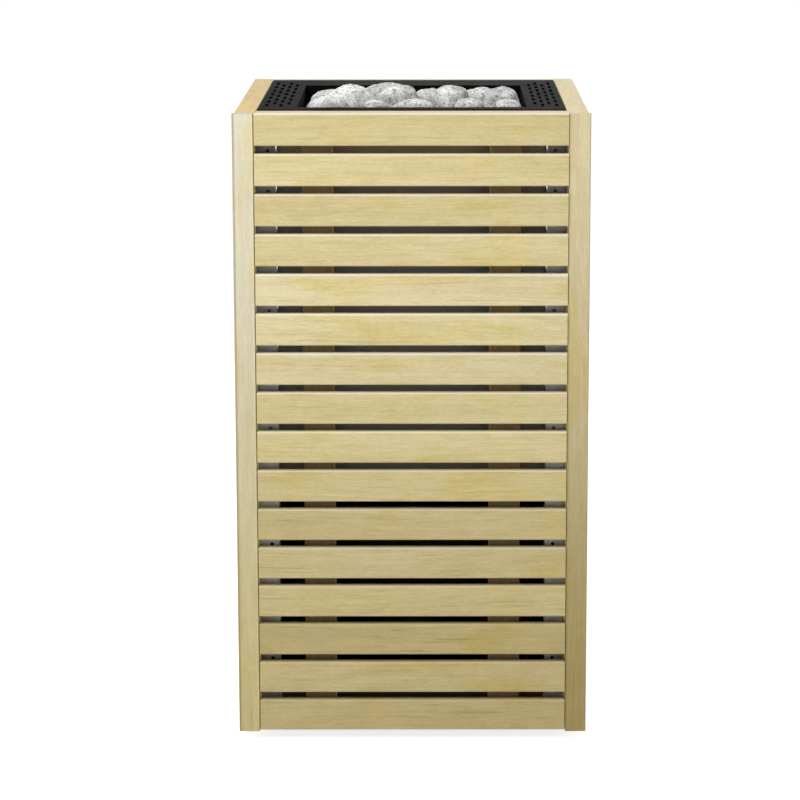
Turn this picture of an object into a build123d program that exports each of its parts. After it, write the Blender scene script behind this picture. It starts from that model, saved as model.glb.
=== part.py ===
"""Electric sauna heater: a slatted wooden tower round a steel stone pit, open at the top.

Millimetres, +Z up. The origin is on the floor under the middle of the tower, and the front faces -Y.
"""
from build123d import *
from math import copysign, cos, pi, radians, sin, sqrt
import os

os.makedirs("parts", exist_ok=True)

# ---------------------------------------------------------------- driving dimensions
WIDTH = 470.0  # over the two corner laths
DEPTH = 505.0  # front slats to rear slats
SLAT_HEIGHT = 42.0
SLAT_THICKNESS = 15.0
SLAT_GAP = 11.0
ROWS = 16  # slats one above the other
LATH_WIDTH = 28.0  # corner laths, rails and stiles are sawn from the same 28 mm stock
LATH_OVERHANG = 2.0  # the corner laths stand out past the side frames
ARRIS = 2.0  # rounding on every edge that a hand meets
SLAT_BOTTOM = 14.0  # lowest slat above the floor
LATH_BOTTOM = 12.0
END_GAP = 0.8  # a front slat's end to the corner lath
BATTEN_WIDTH = 42.0
BATTEN_THICKNESS = 21.0
BATTEN_X = 123.5  # centre line of the battens that carry the slats
STILE_DEPTH = 42.0
REBATE = 12.0  # how far a side slat laps over its stile
STEEL = 1.5  # sheet of the casing and the pit
FRAME_STEEL = 2.0  # sheet of the black top frame, the grate and the tray
CUT = 1.0  # cutting shapes run past the faces they open by this much
HOLE_SIDES = 16  # small punched holes are cut with this many flats

PITCH = SLAT_HEIGHT + SLAT_GAP
TOP = SLAT_BOTTOM + (ROWS - 1) * PITCH + SLAT_HEIGHT
SIDE_X = WIDTH / 2 - LATH_OVERHANG  # outer face of the side frames
INNER_X = SIDE_X - LATH_WIDTH  # inner face of the side frames
LATH_X = WIDTH / 2 - LATH_WIDTH  # inner edge of a corner lath
FRONT_Y = -DEPTH / 2
REAR_Y = DEPTH / 2
CARCASS_Y = FRONT_Y + SLAT_THICKNESS  # front of the wooden carcass, behind the slats
RAIL_BOTTOM = TOP - SLAT_HEIGHT
WELL_FRONT = CARCASS_Y + LATH_WIDTH  # the rails leave this well for the steelwork
WELL_REAR = REAR_Y - LATH_WIDTH

# The tray fits inside four angle uprights, and the casing stands inside the tray's rim.
UPRIGHT_LEG = 27.0
UPRIGHT_HOLE_R = 2.4
UPRIGHT_HOLE_INSET = 15.0  # from the side frame
UPRIGHT_HOLES = (105.0, 265.0, 425.0, 585.0, 745.0, 799.0)  # every 160 mm, and one at the top
UPRIGHT_TOP = RAIL_BOTTOM - 1.0
TRAY_X = INNER_X - STEEL
TRAY_FRONT = CARCASS_Y + BATTEN_THICKNESS + STEEL
TRAY_REAR = WELL_REAR - STEEL
TRAY_BOTTOM = 18.0
TRAY_FLOOR = TRAY_BOTTOM + FRAME_STEEL
TRAY_RIM = 58.0
CASING_SETBACK = 32.0  # dark front plate behind the slats
CASING_X = TRAY_X - FRAME_STEEL
CASING_FRONT = CARCASS_Y + CASING_SETBACK
CASING_REAR = TRAY_REAR - FRAME_STEEL

# The stone pit and its black frame
PIT_X = 156.0
PIT_FRONT = FRONT_Y + 72.0
PIT_REAR = FRONT_Y + 393.0
GRATE_Z = 345.0
MOUTH_INSET = 3.0  # the frame's mouth is this much smaller than the pit on every side
MOUTH_X = PIT_X - MOUTH_INSET
MOUTH_FRONT = PIT_FRONT + MOUTH_INSET
MOUTH_REAR = PIT_REAR - MOUTH_INSET
FRAME_TOP = TOP + 1.2  # the loose frame stands a little proud of the wood
FRAME_BOTTOM = FRAME_TOP - FRAME_STEEL
STEEL_TOP = FRAME_BOTTOM - 0.3  # walls end just under the lift-out frame
FRAME_GAP = 1.4  # dark line between the frame and the wood
FRAME_X = INNER_X - FRAME_GAP
FRAME_FRONT = WELL_FRONT + FRAME_GAP
FRAME_REAR = WELL_REAR - FRAME_GAP
LIP_DEPTH = 25.0
RIM_DEPTH = 12.0
SLOT_WIDTH = 4.4
SLOT_LENGTH = 33.0
SLOT_PITCH = 52.0
SLOT_COLUMNS = (165.5, 175.0, 184.5, 194.0)
SLOTS = (6, 7, 6, 7)  # in each column, so that neighbours are staggered by half a pitch

# Heating elements and what holds them
TUBE_R = 4.0
TUBE_SIDES = 12
ELEMENT_PITCH = 78.0
ELEMENT_X = (-ELEMENT_PITCH, 0.0, ELEMENT_PITCH)
CHANNELS = 4  # of stones, between the elements and beside the outer two
ELEMENT_LEGS = (FRONT_Y + 124.0, FRONT_Y + 341.0)
ELEMENT_TOP = 758.0
ELEMENT_BEND = 30.0
BEND_STEPS = 3  # straight runs in each bend
ELEMENT_PLATE_Z = 300.0

# Fans at the foot of the two side ducts
FAN_SIZE = 119.0
FAN_LENGTH = 25.0
FAN_Z = 150.0
FAN_Y = FRONT_Y + 250.0
FAN_BORE_R = 57.5
HUB_R = 22.0
BOSS_R = 20.0  # motor boss, and the radius where the blades start inside the hub
BLADES = 5
BLADE_TIP_R = 54.5
SHAFT_R = 3.0
RUNNING_CLEARANCE = 0.05
FAN_SIDES = 48  # flats of the bore
HUB_SIDES = 24

# Levelling feet: a stud with a hexagonal sole, screwed through a weld nut in the tray
FOOT_X = 178.0
FOOT_Y = (FRONT_Y + 78.0, FRONT_Y + 427.0)
STUD_R = 5.0
STUD_HOLE_R = 5.6
SOLE_FLATS = 36.0
SOLE_HEIGHT = 8.0
STUD_TOP = 54.0
NUT_FLATS = 17.0
NUT_HEIGHT = 9.0

# Electrical connection, at the rear of the chamber under the pit
BOX_X = 80.0
BOX_DEPTH = 70.0
BOX_BOTTOM = 90.0
BOX_TOP = 190.0
BOX_WALL = 2.0
BOX_REAR = CASING_REAR - STEEL
BOX_FRONT = BOX_REAR - BOX_DEPTH
GLAND_X = 0.0
GLAND_Y = CASING_REAR - BOX_DEPTH / 2
GLAND_BORE_R = 8.0
GLAND_WALL = 2.0
GLAND_FLATS = 30.0
GLAND_LENGTH = 32.0
CABLE_HOLE_R = 15.0  # in the tray under the gland


# ---------------------------------------------------------------- helpers
def block(x, y, z):
    """Box between the two ends given on each axis."""
    size = [abs(b - a) for a, b in (x, y, z)]
    middle = [(a + b) / 2 for a, b in (x, y, z)]
    return Pos(*middle) * Box(*size)


def upright_cylinder(x, y, z0, z1, radius):
    return Pos(x, y, (z0 + z1) / 2) * Cylinder(radius, z1 - z0)


def prism(x, y, z0, z1, radius, sides):
    """Regular prism standing on z0, with its flats at the given radius."""
    outline = Pos(x, y, z0) * RegularPolygon(radius, sides, major_radius=False)
    return extrude(outline, z1 - z0)


def hexagon(x, y, z0, z1, flats):
    """Hexagonal prism standing on z0, measured across its flats."""
    return prism(x, y, z0, z1, flats / 2, 6)


def punched(x, y, z0, z1, radius):
    """Cutter for a small round hole through the sheet from z0 to z1."""
    return prism(x, y, z0 - CUT, z1 + CUT, radius, HOLE_SIDES)


def together(bodies):
    """Join separate solids under one name without fusing them."""
    return Compound(children=list(bodies))


def row_bottom(row):
    """Underside of a row of slats, counted from 1 at the top."""
    return TOP - SLAT_HEIGHT - (row - 1) * PITCH


def channel_x(channel):
    """Middle of a channel of stones, counted from 0 at the left."""
    return (channel - (CHANNELS - 1) / 2) * ELEMENT_PITCH


def save(name, shape):
    export_step(shape, os.path.join("parts", name + ".step"))


def long_edges(shape, axis, side_axis, side):
    """Edges along axis on the face at one end of side_axis: 0 is the low end and -1 the high one."""
    return shape.edges().filter_by(axis).group_by(side_axis)[side]


def rounded(shape, axis, side_axis, side):
    return fillet(long_edges(shape, axis, side_axis, side), ARRIS)


def bevelled(shape, axis, side_axis, side):
    return chamfer(long_edges(shape, axis, side_axis, side), ARRIS / 2)


# ---------------------------------------------------------------- wooden cladding
def front_slat(row):
    z0 = row_bottom(row)
    end = LATH_X - END_GAP
    body = block((-end, end), (FRONT_Y, CARCASS_Y), (z0, z0 + SLAT_HEIGHT))
    return rounded(body, Axis.X, Axis.Y, 0)


def front_lath(side):
    """Corner lath that covers the front edge of a side frame."""
    body = block((side * LATH_X, side * WIDTH / 2), (FRONT_Y, CARCASS_Y), (LATH_BOTTOM, TOP))
    return rounded(body, Axis.Z, Axis.Y, 0)


def batten(x, y0, y1):
    half = BATTEN_WIDTH / 2
    return block((x - half, x + half), (y0, y1), (SLAT_BOTTOM, RAIL_BOTTOM))


def slat_battens():
    """Two battens behind the front slats and two in front of the rear slats."""
    front = [batten(x, CARCASS_Y, CARCASS_Y + BATTEN_THICKNESS) for x in (-BATTEN_X, BATTEN_X)]
    rear = [batten(x, WELL_REAR, REAR_Y - SLAT_THICKNESS) for x in (-BATTEN_X, BATTEN_X)]
    return together(front + rear)


def stile(side, front):
    """Corner post of a side frame, rebated for the ends of the side slats."""
    outer = CARCASS_Y if front else REAR_Y
    inward = 1 if front else -1
    inner = outer + inward * STILE_DEPTH
    post = block((side * INNER_X, side * SIDE_X), (outer, inner), (SLAT_BOTTOM, RAIL_BOTTOM))
    rebate = block(
        (side * (SIDE_X - SLAT_THICKNESS), side * (SIDE_X + CUT)),
        (inner - inward * REBATE, inner + inward * CUT),
        (SLAT_BOTTOM - CUT, RAIL_BOTTOM + CUT),
    )
    return post - rebate


def corner_stiles():
    return together(stile(side, front) for side in (-1, 1) for front in (True, False))


def side_rail(side):
    """Top rail of a side frame: the pale border seen from above."""
    body = block((side * INNER_X, side * SIDE_X), (CARCASS_Y, REAR_Y), (RAIL_BOTTOM, TOP))
    return rounded(body, Axis.Y, Axis.Z, -1)


def cross_rail(y0, y1):
    """Top rail between the two side rails."""
    body = block((-INNER_X, INNER_X), (y0, y1), (RAIL_BOTTOM, TOP))
    return rounded(body, Axis.X, Axis.Z, -1)


def side_slats(side):
    """Rows 2 and down of one side, let into the stiles."""
    clearance = 0.5
    y0 = CARCASS_Y + STILE_DEPTH - REBATE + clearance
    y1 = REAR_Y - STILE_DEPTH + REBATE - clearance
    made = []
    for row in range(2, ROWS + 1):
        z0 = row_bottom(row)
        body = block((side * (SIDE_X - SLAT_THICKNESS), side * SIDE_X), (y0, y1), (z0, z0 + SLAT_HEIGHT))
        made.append(bevelled(body, Axis.Y, Axis.X, -1 if side > 0 else 0))
    return together(made)


def rear_slats():
    end = INNER_X - END_GAP / 2
    made = []
    for row in range(2, ROWS + 1):
        z0 = row_bottom(row)
        body = block((-end, end), (REAR_Y - SLAT_THICKNESS, REAR_Y), (z0, z0 + SLAT_HEIGHT))
        made.append(bevelled(body, Axis.X, Axis.Y, -1))
    return together(made)


# ---------------------------------------------------------------- steel carcass
def base_tray():
    """Open tray with air slots, four stud holes and a cable hole."""
    body = block((-TRAY_X, TRAY_X), (TRAY_FRONT, TRAY_REAR), (TRAY_BOTTOM, TRAY_RIM))
    hollow = block(
        (-CASING_X, CASING_X),
        (TRAY_FRONT + FRAME_STEEL, TRAY_REAR - FRAME_STEEL),
        (TRAY_FLOOR, TRAY_RIM + CUT),
    )
    body -= hollow
    for x in (-FOOT_X, FOOT_X):
        for y in FOOT_Y:
            body -= punched(x, y, TRAY_BOTTOM, TRAY_FLOOR, STUD_HOLE_R)
    body -= punched(GLAND_X, GLAND_Y, TRAY_BOTTOM, TRAY_FLOOR, CABLE_HOLE_R)
    slots, pitch, width, length = 6, 40.0, 10.0, 90.0
    for number in range(slots):
        x = (number - (slots - 1) / 2) * pitch
        body -= block(
            (x - width / 2, x + width / 2),
            (FAN_Y - length / 2, FAN_Y + length / 2),
            (TRAY_BOTTOM - CUT, TRAY_FLOOR + CUT),
        )
    return body


def upright(side, front):
    """Perforated angle that ties the wooden stile to the tray."""
    flange_y = TRAY_FRONT if front else TRAY_REAR
    inward = 1 if front else -1
    outer_y = flange_y - inward * STEEL
    height = (TRAY_BOTTOM, UPRIGHT_TOP)
    angle = block((side * (INNER_X - UPRIGHT_LEG), side * INNER_X), (outer_y, flange_y), height)
    angle += block(
        (side * (INNER_X - STEEL), side * INNER_X),
        (outer_y, outer_y + inward * UPRIGHT_LEG),
        height,
    )
    hole_x = side * (INNER_X - UPRIGHT_HOLE_INSET)
    drill = Rot(90, 0, 0) * punched(0, 0, -STEEL, STEEL, UPRIGHT_HOLE_R)
    for z in UPRIGHT_HOLES if front else ():
        angle -= Pos(hole_x, flange_y, z) * drill
    return angle


def corner_uprights():
    return together(upright(side, front) for side in (-1, 1) for front in (True, False))


def casing_wrap():
    """Outer wall of the ducts, folded round the two sides and the rear."""
    outer = block((-CASING_X, CASING_X), (CASING_FRONT + STEEL, CASING_REAR), (TRAY_FLOOR, STEEL_TOP))
    inner = block(
        (-CASING_X + STEEL, CASING_X - STEEL),
        (CASING_FRONT, CASING_REAR - STEEL),
        (TRAY_FLOOR - CUT, STEEL_TOP + CUT),
    )
    return outer - inner


def casing_front():
    """Dark front plate behind the slats; below it the chamber is open to the front."""
    return block((-CASING_X, CASING_X), (CASING_FRONT, CASING_FRONT + STEEL), (GRATE_Z, STEEL_TOP))


def duct_wall(side):
    """Pit wall that runs down to the tray, with the fan's opening at its foot."""
    wall = block(
        (side * PIT_X, side * (PIT_X + STEEL)),
        (CASING_FRONT + STEEL, CASING_REAR - STEEL),
        (TRAY_FLOOR, STEEL_TOP),
    )
    opening = Rot(0, 90, 0) * Cylinder(FAN_BORE_R, 2 * (STEEL + CUT))
    return wall - Pos(side * PIT_X, FAN_Y, FAN_Z) * opening


def pit_wall(front):
    """Cross wall of the pit with a ledge that carries the grate."""
    y, inward = (PIT_FRONT, 1) if front else (PIT_REAR, -1)
    ledge = 12.0
    wall = block((-PIT_X, PIT_X), (y - inward * STEEL, y), (GRATE_Z - STEEL, STEEL_TOP))
    return wall + block((-PIT_X, PIT_X), (y, y + inward * ledge), (GRATE_Z - STEEL, GRATE_Z))


def stone_grate():
    """Slotted floor of the pit, with a hole round each leg of the elements."""
    edge, clearance = 0.5, 2.0
    y0, y1 = PIT_FRONT + edge, PIT_REAR - edge
    sheet = (GRATE_Z, GRATE_Z + FRAME_STEEL)
    through = (GRATE_Z - CUT, GRATE_Z + FRAME_STEEL + CUT)
    plate = block((-PIT_X + edge, PIT_X - edge), (y0, y1), sheet)
    hole = TUBE_R + clearance
    for x in ELEMENT_X:
        for y in ELEMENT_LEGS:
            plate -= block((x - hole, x + hole), (y - hole, y + hole), through)
    slot_width, slot_length, row_pitch, rows = 12.0, 84.0, 100.0, 3
    off_middle = 14.0
    for channel in range(CHANNELS):
        for offset in (-off_middle, off_middle):
            x = channel_x(channel) + offset
            for row in range(rows):
                y = (y0 + y1) / 2 + (row - (rows - 1) / 2) * row_pitch
                plate -= block(
                    (x - slot_width / 2, x + slot_width / 2),
                    (y - slot_length / 2, y + slot_length / 2),
                    through,
                )
    return plate


# ---------------------------------------------------------------- black top frame
def frame_border(front):
    """Front or rear border of the mouth, with a lip down into the pit and a rim at the wood."""
    if front:
        wood, mouth, inward = FRAME_FRONT, MOUTH_FRONT, 1
    else:
        wood, mouth, inward = FRAME_REAR, MOUTH_REAR, -1
    across = (-MOUTH_X, MOUTH_X)
    plate = block(across, (wood, mouth), (FRAME_BOTTOM, FRAME_TOP))
    lip = block(across, (mouth - inward * STEEL, mouth), (FRAME_TOP - LIP_DEPTH, FRAME_TOP))
    rim = block(across, (wood, wood + inward * STEEL), (FRAME_TOP - RIM_DEPTH, FRAME_TOP))
    return plate + lip + rim


def frame_grille(side):
    """Side strip over an air duct, with staggered columns of slots from front to rear."""
    rim = (FRAME_TOP - RIM_DEPTH, FRAME_TOP)
    strip = (side * MOUTH_X, side * FRAME_X)
    plate = block(strip, (FRAME_FRONT, FRAME_REAR), (FRAME_BOTTOM, FRAME_TOP))
    plate += block(strip, (FRAME_FRONT, FRAME_FRONT + STEEL), rim)
    plate += block(strip, (FRAME_REAR - STEEL, FRAME_REAR), rim)
    plate += block((side * (FRAME_X - STEEL), side * FRAME_X), (FRAME_FRONT, FRAME_REAR), rim)
    plate += block(
        (side * MOUTH_X, side * (MOUTH_X + STEEL)),
        (MOUTH_FRONT, MOUTH_REAR),
        (FRAME_TOP - LIP_DEPTH, FRAME_TOP),
    )
    middle = (FRAME_FRONT + FRAME_REAR) / 2
    for x, count in zip(SLOT_COLUMNS, SLOTS):
        for row in range(count):
            y = middle + (row - (count - 1) / 2) * SLOT_PITCH
            plate -= block(
                (side * (x - SLOT_WIDTH / 2), side * (x + SLOT_WIDTH / 2)),
                (y - SLOT_LENGTH / 2, y + SLOT_LENGTH / 2),
                (FRAME_BOTTOM - CUT, FRAME_TOP + CUT),
            )
    return plate


# ---------------------------------------------------------------- heating elements
def heating_element(x):
    """One tube bent into a staple, with a hexagon bush under the plate on each leg."""
    stub, bush_height, bush_flats = 25.0, 6.0, 14.0
    z0 = ELEMENT_PLATE_Z - stub
    y0, y1 = ELEMENT_LEGS
    shoulder = ELEMENT_TOP - ELEMENT_BEND
    turns = [pi / 2 * step / BEND_STEPS for step in range(BEND_STEPS + 1)]
    bend = [(ELEMENT_BEND * (1 - cos(a)), shoulder + ELEMENT_BEND * sin(a)) for a in turns]
    front = [(x, y0 + along, z) for along, z in bend]
    rear = [(x, y1 - along, z) for along, z in reversed(bend)]
    route = Polyline((x, y0, z0), *front, *rear, (x, y1, z0))
    section = Pos(x, y0, z0) * RegularPolygon(TUBE_R, TUBE_SIDES)
    body = sweep(section, path=route, transition=Transition.RIGHT)
    for y in ELEMENT_LEGS:
        body += hexagon(x, y, ELEMENT_PLATE_Z - bush_height, ELEMENT_PLATE_Z, bush_flats)
    return body


def element_plate():
    """Bridge between the duct walls that the elements are screwed to."""
    flange, margin = 18.0, 20.0
    window, solid_end, clearance = 50.0, 40.0, 0.1
    hole = TUBE_R + clearance
    y0, y1 = ELEMENT_LEGS[0] - margin, ELEMENT_LEGS[1] + margin
    top = ELEMENT_PLATE_Z + FRAME_STEEL
    through = (ELEMENT_PLATE_Z - CUT, top + CUT)
    plate = block((-PIT_X, PIT_X), (y0, y1), (ELEMENT_PLATE_Z, top))
    for side in (-1, 1):
        plate += block(
            (side * (PIT_X - FRAME_STEEL), side * PIT_X),
            (y0, y1),
            (ELEMENT_PLATE_Z - flange, ELEMENT_PLATE_Z),
        )
    for x in ELEMENT_X:
        for y in ELEMENT_LEGS:
            plate -= block((x - hole, x + hole), (y - hole, y + hole), through)
    for channel in range(CHANNELS):
        x = channel_x(channel)
        plate -= block((x - window / 2, x + window / 2), (y0 + solid_end, y1 - solid_end), through)
    return plate


# ---------------------------------------------------------------- stones
def stone(place, size, turn, seed, crest=1.0, sides=5, rings=2):
    """Rounded lump with flat facets inside a box of the given size.

    A crest under 1 makes it blocky with a flat top, and one over 1 makes it peaked.
    """
    half = [length / 2 for length in size]
    c, s = cos(radians(turn)), sin(radians(turn))
    narrowing, rise, unevenness = 0.8 * crest, 0.75 * sqrt(crest), 0.07
    stir = (2.3, 1.9, 2.7)  # steps that keep the corners of stones, rings and sides out of phase

    def corner(ring, side):
        up = pi * ring / (rings + 1)
        around = 2 * pi * (side + 0.5 * (ring % 2)) / sides
        phase = seed * stir[0] + ring * stir[1] + (side % sides) * stir[2]
        swell = 1 - unevenness * (1 + sin(phase))
        x = half[0] * swell * sin(up) ** narrowing * cos(around)
        y = half[1] * swell * sin(up) ** narrowing * sin(around)
        z = half[2] * copysign(abs(cos(up)) ** rise, cos(up))
        return (place[0] + c * x - s * y, place[1] + s * x + c * y, place[2] + z)

    top = (place[0], place[1], place[2] + half[2])
    bottom = (place[0], place[1], place[2] - half[2])
    faces = []

    def facet(*corners):
        faces.append(Face(Wire.make_polygon(corners)))

    for side in range(sides):
        facet(top, corner(1, side), corner(1, side + 1))
        facet(bottom, corner(rings, side + 1), corner(rings, side))
        for ring in range(1, rings):
            step = ring % 2
            a, b = corner(ring, side), corner(ring, side + 1)
            p, q = corner(ring + 1, side + step), corner(ring + 1, side + 1)
            if step:
                facet(a, p, b)
                facet(p, corner(ring + 1, side + 2), b)
            else:
                facet(a, p, q)
                facet(a, q, b)
    return Solid(Shell(faces))


def stone_fill():
    """Stones in the pit under the crown, in layers along each channel."""
    rows, layers, play = 3, 5, 1.0
    crown_bottom = 805.0
    z0 = GRATE_Z + FRAME_STEEL
    width = ELEMENT_PITCH - 2 * TUBE_R - play
    length = (PIT_REAR - PIT_FRONT) / rows
    height = (crown_bottom - z0) / layers
    made = []
    for layer in range(layers):
        for row in range(rows):
            for channel in range(CHANNELS):
                number = len(made)
                place = (
                    channel_x(channel),
                    PIT_FRONT + (row + 0.5) * length,
                    z0 + (layer + 0.5) * height,
                )
                made.append(stone(place, (width, length - 2 * play, height), 0, number))
    return together(made)


# The heap that shows. For each stone: its middle across and from the front, its top over the wood,
# its size, its turn and its crest.
CROWN = (
    (-111, 107, 12, 68, 50, 56, 8, 0.9),
    (-49, 102, 8, 44, 40, 50, -20, 0.9),
    (5, 104, 9, 66, 44, 50, 5, 0.8),
    (79, 109, 10, 48, 46, 52, 8, 0.9),
    (128, 112, 9, 44, 52, 52, 0, 0.9),
    (-83, 160, 25, 94, 64, 68, -6, 2.1),
    (-29, 232, 17, 84, 78, 62, 8, 0.6),
    (53, 185, 21, 52, 84, 66, -8, 1.0),
    (120, 180, 16, 60, 76, 60, 0, 0.7),
    (-110, 250, 6, 76, 68, 52, 20, 1.0),
    (97, 254, 10, 56, 60, 54, -20, 0.9),
    (30, 282, 6, 60, 74, 54, 12, 0.8),
    (-45, 308, 4, 70, 66, 50, -12, 0.9),
    (-115, 330, -1, 66, 74, 46, 0, 1.0),
    (92, 327, 0, 64, 64, 50, 10, 0.9),
    (-42, 364, -4, 74, 44, 44, 5, 0.9),
    (28, 361, -3, 56, 52, 44, -15, 0.9),
    (107, 373, -6, 58, 34, 42, 0, 0.9),
)


def stone_crown():
    made = []
    for number, (x, depth, above, dx, dy, dz, turn, crest) in enumerate(CROWN):
        place = (x, FRONT_Y + depth, TOP + above - dz / 2)
        made.append(stone(place, (dx, dy, dz), turn, number, crest, sides=8, rings=3))
    return together(made)


# ---------------------------------------------------------------- fans
def along_x(x0, x1, radius, sides):
    """Many-sided rod along X on the fan's axis, with its flats at the given radius."""
    return Pos(x0, FAN_Y, FAN_Z) * Rot(0, 90, 0) * prism(0, 0, 0, x1 - x0, radius, sides)


def fan_frame(side):
    """Square housing with a round bore and a motor boss on four struts."""
    inner = PIT_X - FAN_LENGTH
    half = FAN_SIZE / 2
    corner, strut, strut_width, bite = 5.0, 4.0, 5.0, 1.0
    body = block((inner, PIT_X), (FAN_Y - half, FAN_Y + half), (FAN_Z - half, FAN_Z + half))
    body = chamfer(body.edges().filter_by(Axis.X), corner)
    body -= along_x(inner - CUT, PIT_X + CUT, FAN_BORE_R, FAN_SIDES)
    body += along_x(inner, inner + strut, BOSS_R, HUB_SIDES)
    for turn in (45, 135):
        bar = Rot(turn, 0, 0) * Box(strut, strut_width, 2 * (FAN_BORE_R + bite))
        body += Pos(inner + strut / 2, FAN_Y, FAN_Z) * bar
    body -= along_x(inner - CUT, inner + strut + CUT, SHAFT_R + RUNNING_CLEARANCE, HOLE_SIDES)
    return body if side > 0 else mirror(body, Plane.YZ)


def fan_blade():
    """Pitched blade from the hub to the tip, about the X axis."""
    chord, thickness, pitch_angle = 19.0, 1.6, 52.0
    blade = Rot(0, 0, pitch_angle) * Box(chord, thickness, BLADE_TIP_R - BOSS_R)
    return Pos(0, 0, (BOSS_R + BLADE_TIP_R) / 2) * blade


def fan_rotor(side):
    """Hub with its blades and the shaft that runs in the motor boss."""
    inner = PIT_X - FAN_LENGTH
    hub_length, boss_gap, shaft_overhang = 17.0, 5.0, 2.0
    hub_start = inner + boss_gap
    body = along_x(hub_start, hub_start + hub_length, HUB_R, HUB_SIDES)
    centre = Pos(hub_start + hub_length / 2, FAN_Y, FAN_Z)
    for number in range(BLADES):
        body += centre * Rot(360 * number / BLADES, 0, 0) * fan_blade()
    shaft = Rot(0, 90, 0) * Cylinder(SHAFT_R, boss_gap + shaft_overhang)
    body += Pos(inner + (boss_gap - shaft_overhang) / 2, FAN_Y, FAN_Z) * shaft
    return body if side > 0 else mirror(body, Plane.YZ)


# ---------------------------------------------------------------- feet
def foot(x, y):
    """Hexagonal sole and stud in one piece."""
    sole = hexagon(x, y, 0, SOLE_HEIGHT, SOLE_FLATS)
    return sole + upright_cylinder(x, y, SOLE_HEIGHT, STUD_TOP, STUD_R)


def foot_nuts():
    """Square weld nuts on the tray's floor."""
    half = NUT_FLATS / 2
    z0, z1 = TRAY_FLOOR, TRAY_FLOOR + NUT_HEIGHT
    made = []
    for x in (-FOOT_X, FOOT_X):
        for y in FOOT_Y:
            nut = block((x - half, x + half), (y - half, y + half), (z0, z1))
            made.append(nut - punched(x, y, z0, z1, STUD_R + RUNNING_CLEARANCE))
    return together(made)


# ---------------------------------------------------------------- electrical connection
def terminal_box():
    """Open-fronted box on the rear wall, with the gland's hole in its floor."""
    clearance = 0.1
    body = block((-BOX_X, BOX_X), (BOX_FRONT, BOX_REAR), (BOX_BOTTOM, BOX_TOP))
    body -= block(
        (-BOX_X + BOX_WALL, BOX_X - BOX_WALL),
        (BOX_FRONT - CUT, BOX_REAR - BOX_WALL),
        (BOX_BOTTOM + BOX_WALL, BOX_TOP - BOX_WALL),
    )
    floor = (BOX_BOTTOM, BOX_BOTTOM + BOX_WALL)
    return body - punched(GLAND_X, GLAND_Y, *floor, GLAND_BORE_R + GLAND_WALL + clearance)


def terminal_cover():
    """Lid with a turned edge that laps over the box."""
    lap, gap = 10.0, 0.2
    out = BOX_X + gap + STEEL
    low, high = BOX_BOTTOM - gap - STEEL, BOX_TOP + gap + STEEL
    body = block((-out, out), (BOX_FRONT - STEEL, BOX_FRONT + lap), (low, high))
    return body - block(
        (-BOX_X - gap, BOX_X + gap),
        (BOX_FRONT, BOX_FRONT + lap + CUT),
        (low + STEEL, high - STEEL),
    )


def terminal_block():
    """Five-pole block: a ceramic bar with a raised wall between the poles."""
    poles, pole, wall = 5, 18.0, 3.0
    bar_depth, wall_depth, clamp_depth, clamp = 12.0, 26.0, 20.0, 10.0
    base_z, top_z, clamp_inset = 125.0, 165.0, 8.0
    rear = BOX_REAR - BOX_WALL
    half = (poles * pole + (poles + 1) * wall) / 2
    body = block((-half, half), (rear - bar_depth, rear), (base_z, top_z))
    for index in range(poles + 1):
        x = -half + index * (pole + wall)
        body += block((x, x + wall), (rear - wall_depth, rear), (base_z, top_z))
    for index in range(poles):
        x = -half + wall + index * (pole + wall) + pole / 2
        body += block(
            (x - clamp / 2, x + clamp / 2),
            (rear - clamp_depth, rear - bar_depth),
            (base_z + clamp_inset, top_z - clamp_inset),
        )
    return body


def cable_gland():
    """Compression gland under the terminal box, its bore open downwards."""
    thread, collar, nut_flats = 8.0, 8.0, 26.0
    top = BOX_BOTTOM + BOX_WALL + thread
    bottom = top - GLAND_LENGTH
    body = upright_cylinder(GLAND_X, GLAND_Y, BOX_BOTTOM, top, GLAND_BORE_R + GLAND_WALL)
    body += hexagon(GLAND_X, GLAND_Y, BOX_BOTTOM - collar, BOX_BOTTOM, GLAND_FLATS)
    body += hexagon(GLAND_X, GLAND_Y, bottom, BOX_BOTTOM - collar, nut_flats)
    return body - upright_cylinder(GLAND_X, GLAND_Y, bottom - CUT, top + CUT, GLAND_BORE_R)


# ---------------------------------------------------------------- write every sub-part
SIDES = {"left": -1, "right": 1}
ENDS = {"front": True, "rear": False}


def build():
    for row in range(1, ROWS + 1):
        save(f"front_slat_{row:02d}", front_slat(row))
    for name, side in SIDES.items():
        save(f"front_lath_{name}", front_lath(side))
        save(f"side_rail_{name}", side_rail(side))
        save(f"side_slats_{name}", side_slats(side))
        save(f"duct_wall_{name}", duct_wall(side))
        save(f"frame_grille_{name}", frame_grille(side))
        save(f"fan_frame_{name}", fan_frame(side))
        save(f"fan_rotor_{name}", fan_rotor(side))
        for end, y in zip(ENDS, FOOT_Y):
            save(f"foot_{end}_{name}", foot(side * FOOT_X, y))
    for name, front in ENDS.items():
        save(f"pit_wall_{name}", pit_wall(front))
        save(f"frame_border_{name}", frame_border(front))
    save("cross_rail_front", cross_rail(CARCASS_Y, WELL_FRONT))
    save("cross_rail_rear", cross_rail(WELL_REAR, REAR_Y))
    save("rear_slats", rear_slats())
    save("slat_battens", slat_battens())
    save("corner_stiles", corner_stiles())
    save("corner_uprights", corner_uprights())
    save("base_tray", base_tray())
    save("foot_nuts", foot_nuts())
    save("casing_wrap", casing_wrap())
    save("casing_front", casing_front())
    save("stone_grate", stone_grate())
    save("element_plate", element_plate())
    for name, x in zip(("left", "middle", "right"), ELEMENT_X):
        save(f"heating_element_{name}", heating_element(x))
    save("stone_fill", stone_fill())
    save("stone_crown", stone_crown())
    save("terminal_box", terminal_box())
    save("terminal_cover", terminal_cover())
    save("terminal_block", terminal_block())
    save("cable_gland", cable_gland())


build()
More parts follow.
